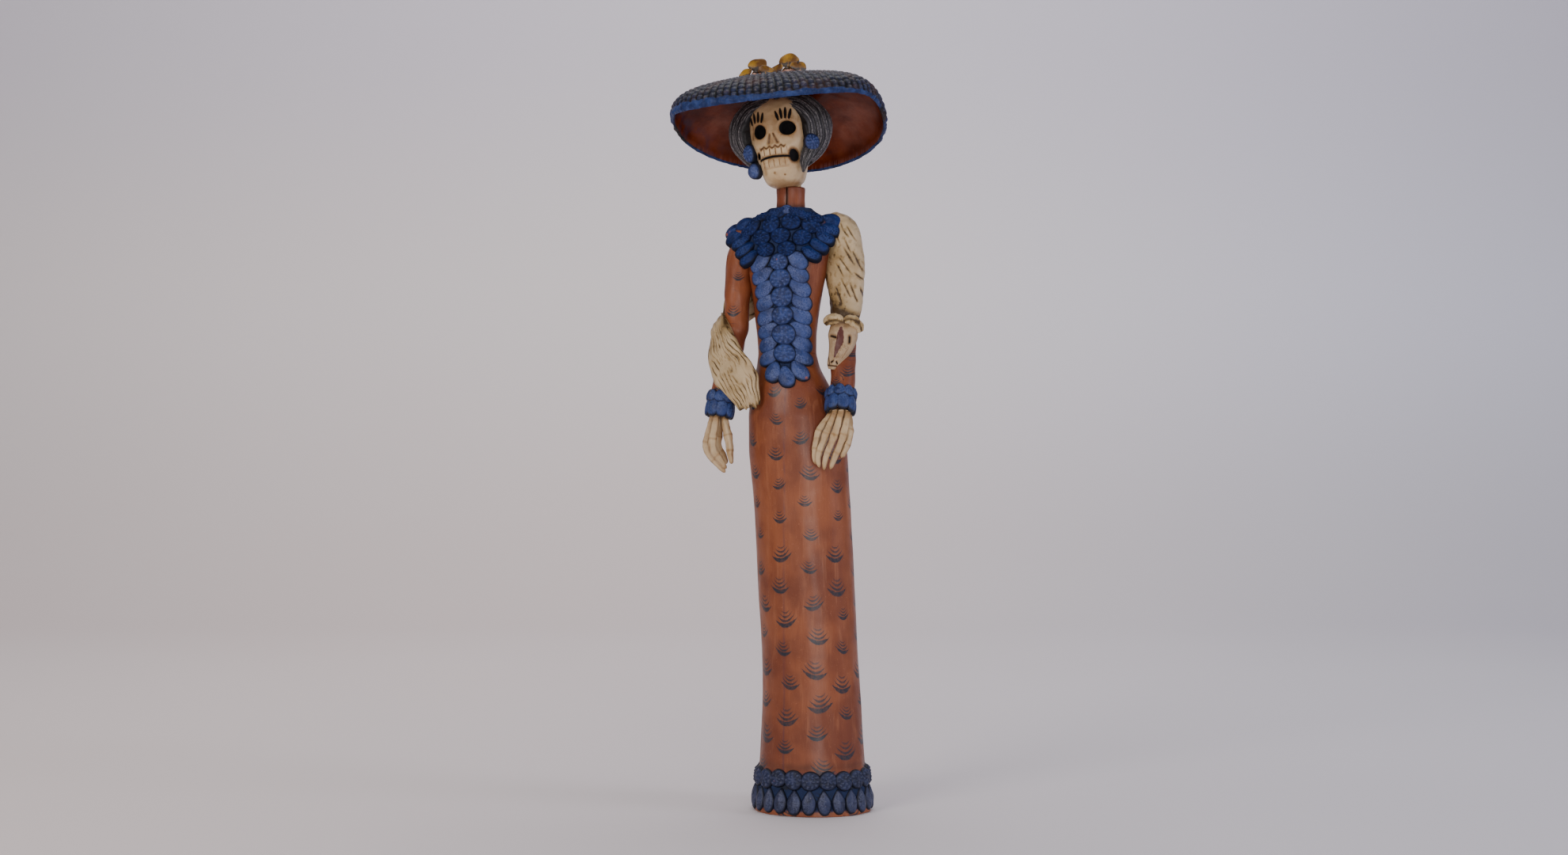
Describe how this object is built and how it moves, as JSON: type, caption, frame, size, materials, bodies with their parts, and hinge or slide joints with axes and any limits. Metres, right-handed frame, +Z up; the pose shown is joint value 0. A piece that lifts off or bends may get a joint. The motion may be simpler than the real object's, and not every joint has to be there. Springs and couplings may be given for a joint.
{
  "type": "skeleton lady figure",
  "caption": "Tall standing skeleton lady figure in a petal-trimmed dress and fur stole, with a lift-off turning head under a wide domed hat, for display on a shelf.",
  "frame": {"origin": "on the surface it stands on, under the middle of the whole figure's box, hat included", "axes": "+Z up, the figure faces -Y, its left hand is on +X"},
  "size_m": [0.1414, 0.1381, 0.4958],
  "materials": {
    "painted_dress": "semi-gloss varnished burnt orange paint, worn, with small grey crescent marks",
    "painted_blue_petals": "satin blue paint rubbed paler on the high spots, dark in the joints",
    "painted_bone": "satin cream paint with brown antiquing in the grooves",
    "painted_fur": "satin cream paint with incised, brown-washed fur lines",
    "painted_hair": "satin near-black paint with grey dry-brushed strands",
    "painted_hat": "woven relief in near-black blue, blue rim, red-brown glossy underside",
    "painted_flower": "ochre yellow paint with dark brown strokes",
    "wood": "plain turned dowel",
    "steel_wire": "plain annealed wire",
    "board": "plain board"
  },
  "bodies": {
    "figure": {"base_disc": "board", "spine_rod": "wood", "skirt_shell": "painted_dress", "torso_shell": "painted_dress", "neck_tube": "painted_dress", "hem_petal_row": "painted_blue_petals", "hem_rosette_row": "painted_blue_petals", "bodice_rosette_column": "painted_blue_petals", "yoke_rosettes": "painted_blue_petals", "left_bodice_petals": "painted_blue_petals", "right_bodice_petals": "painted_blue_petals", "bodice_point_petals": "painted_blue_petals", "right_shoulder_petals": "painted_blue_petals", "left_shoulder_petals": "painted_blue_petals", "collar_disc": "painted_blue_petals", "right_sleeve": "painted_dress", "left_sleeve": "painted_dress", "right_arm_wire": "steel_wire", "left_arm_wire": "steel_wire", "right_cuff_lower_petals": "painted_blue_petals", "right_cuff_upper_petals": "painted_blue_petals", "left_cuff_lower_petals": "painted_blue_petals", "left_cuff_upper_petals": "painted_blue_petals", "right_outer_finger": "painted_bone", "right_second_finger": "painted_bone", "right_inner_finger": "painted_bone", "right_thumb": "painted_bone", "left_thumb": "painted_bone", "left_index_finger": "painted_bone", "left_middle_finger": "painted_bone", "left_ring_finger": "painted_bone", "left_little_finger": "painted_bone", "stole_shoulder_drape": "painted_fur", "stole_back_band": "painted_fur", "stole_forearm_drape": "painted_fur", "stole_animal_head": "painted_fur", "stole_inner_ear": "painted_fur", "stole_outer_ear": "painted_fur"},
    "neck_peg": {"neck_peg": "wood"},
    "head": {"skull": "painted_bone", "hair_cap": "painted_hair", "left_side_lock": "painted_hair", "left_ear_rosette": "painted_blue_petals", "right_ear_rosette": "painted_blue_petals", "right_ear_drop": "painted_blue_petals", "hat_brim": "painted_hat", "hat_crown": "painted_hat", "hat_flower_right": "painted_flower", "hat_flower_left": "painted_flower"}
  },
  "joints": [
    {"name": "head_lift", "type": "slide", "parent": "figure", "child": "neck_peg", "axis": [0, 0, 1], "range_m": [0, 0.03]},
    {"name": "head_turn", "type": "hinge", "parent": "neck_peg", "child": "head", "pos_m": [0.007, 0.0021, 0.4124], "axis": [0, 0, 1], "continuous": true}
  ]
}
